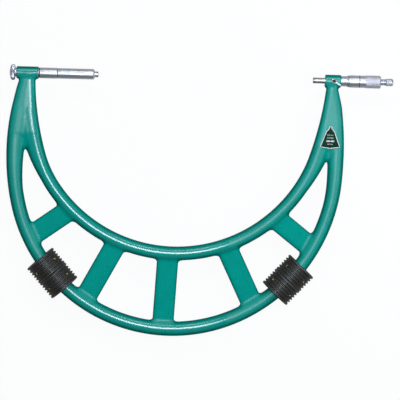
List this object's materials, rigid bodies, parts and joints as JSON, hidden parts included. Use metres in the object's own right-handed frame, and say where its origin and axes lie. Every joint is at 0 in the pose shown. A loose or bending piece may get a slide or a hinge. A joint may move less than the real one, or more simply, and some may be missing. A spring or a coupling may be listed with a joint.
{
  "type": "outside micrometer",
  "caption": "Large outside micrometer: ribbed bow frame with windows, interchangeable anvil, sleeve and thimble with ratchet stop, spindle lock, finned heat-insulating grips and name plate.",
  "frame": {"origin": "centre of the anvil's measuring face, on the measuring line", "axes": "+X along the measuring line from the anvil to the spindle, +Y away from the bow, +Z out of the instrument's front; the part lies on its back, on its two grips and its head"},
  "size_m": [0.5381, 0.3753, 0.0472],
  "materials": {
    "enamel": "glossy teal-green enamel with a fine hammer texture, on the cast frame",
    "satin_chrome": "satin chrome plating",
    "steel": "ground and turned steel",
    "pin_steel": "dark red-brown browned steel drive pins",
    "carbide": "lapped carbide",
    "brass": "plain brass",
    "bakelite": "black moulded heat-insulating plastic",
    "plate_green": null
  },
  "bodies": {
    "frame_body": {"frame": "enamel", "anvil_rod": "satin_chrome", "anvil_tip": "carbide", "anvil_collar": "satin_chrome", "inner_sleeve": "steel", "outer_sleeve": "satin_chrome", "adjusting_nut": "steel", "lock_shoe": "brass", "name_plate": "plate_green", "plate_pin_1": "pin_steel", "plate_pin_2": "pin_steel", "plate_pin_3": "pin_steel", "left_grip_front_1": "bakelite", "left_grip_back_1": "bakelite", "left_grip_front_2": "bakelite", "left_grip_back_2": "bakelite", "right_grip_front_1": "bakelite", "right_grip_back_1": "bakelite", "right_grip_front_2": "bakelite", "right_grip_back_2": "bakelite", "left_grip_screw_1_1": "brass", "left_grip_screw_1_2": "brass", "left_grip_screw_2_1": "brass", "left_grip_screw_2_2": "brass", "right_grip_screw_1_1": "brass", "right_grip_screw_1_2": "brass", "right_grip_screw_2_1": "brass", "right_grip_screw_2_2": "brass", "left_grip_nut_1_1": "brass", "left_grip_nut_1_2": "brass", "left_grip_nut_2_1": "brass", "left_grip_nut_2_2": "brass", "right_grip_nut_1_1": "brass", "right_grip_nut_1_2": "brass", "right_grip_nut_2_1": "brass", "right_grip_nut_2_2": "brass"},
    "clamp_nut_body": {"anvil_clamp_nut": "satin_chrome"},
    "spindle_body": {"spindle": "steel", "spindle_tip": "carbide"},
    "thimble_body": {"thimble": "satin_chrome", "ratchet_body": "satin_chrome", "ratchet_screw": "steel"},
    "ratchet_knob_body": {"ratchet_knob": "satin_chrome", "ratchet_disc": "steel", "ratchet_spring": "steel"},
    "lock_lever_body": {"lock_lever": "satin_chrome", "lock_screw": "steel"}
  },
  "joints": [
    {"name": "spindle_feed", "type": "slide", "parent": "frame_body", "child": "spindle_body", "axis": [1, 0, 0], "range_m": [0, 0.025]},
    {"name": "thimble_turn", "type": "hinge", "parent": "spindle_body", "child": "thimble_body", "pos_m": [0.35, 0, 0], "axis": [1, 0, 0], "range_deg": [0, 18000]},
    {"name": "ratchet_turn", "type": "hinge", "parent": "thimble_body", "child": "ratchet_knob_body", "pos_m": [0.403, 0, 0], "axis": [1, 0, 0], "continuous": true},
    {"name": "lock_lever_turn", "type": "hinge", "parent": "frame_body", "child": "lock_lever_body", "pos_m": [0.32896, 0, 0.0085], "axis": [0, 0, 1], "range_deg": [-60, 0]},
    {"name": "clamp_nut_turn", "type": "hinge", "parent": "frame_body", "child": "clamp_nut_body", "pos_m": [-0.12, 0, 0], "axis": [-1, 0, 0], "range_deg": [0, 360]}
  ],
  "couplings": [
    {"joint": "thimble_turn", "follows": "spindle_feed", "rad_per_m": 12566}
  ]
}
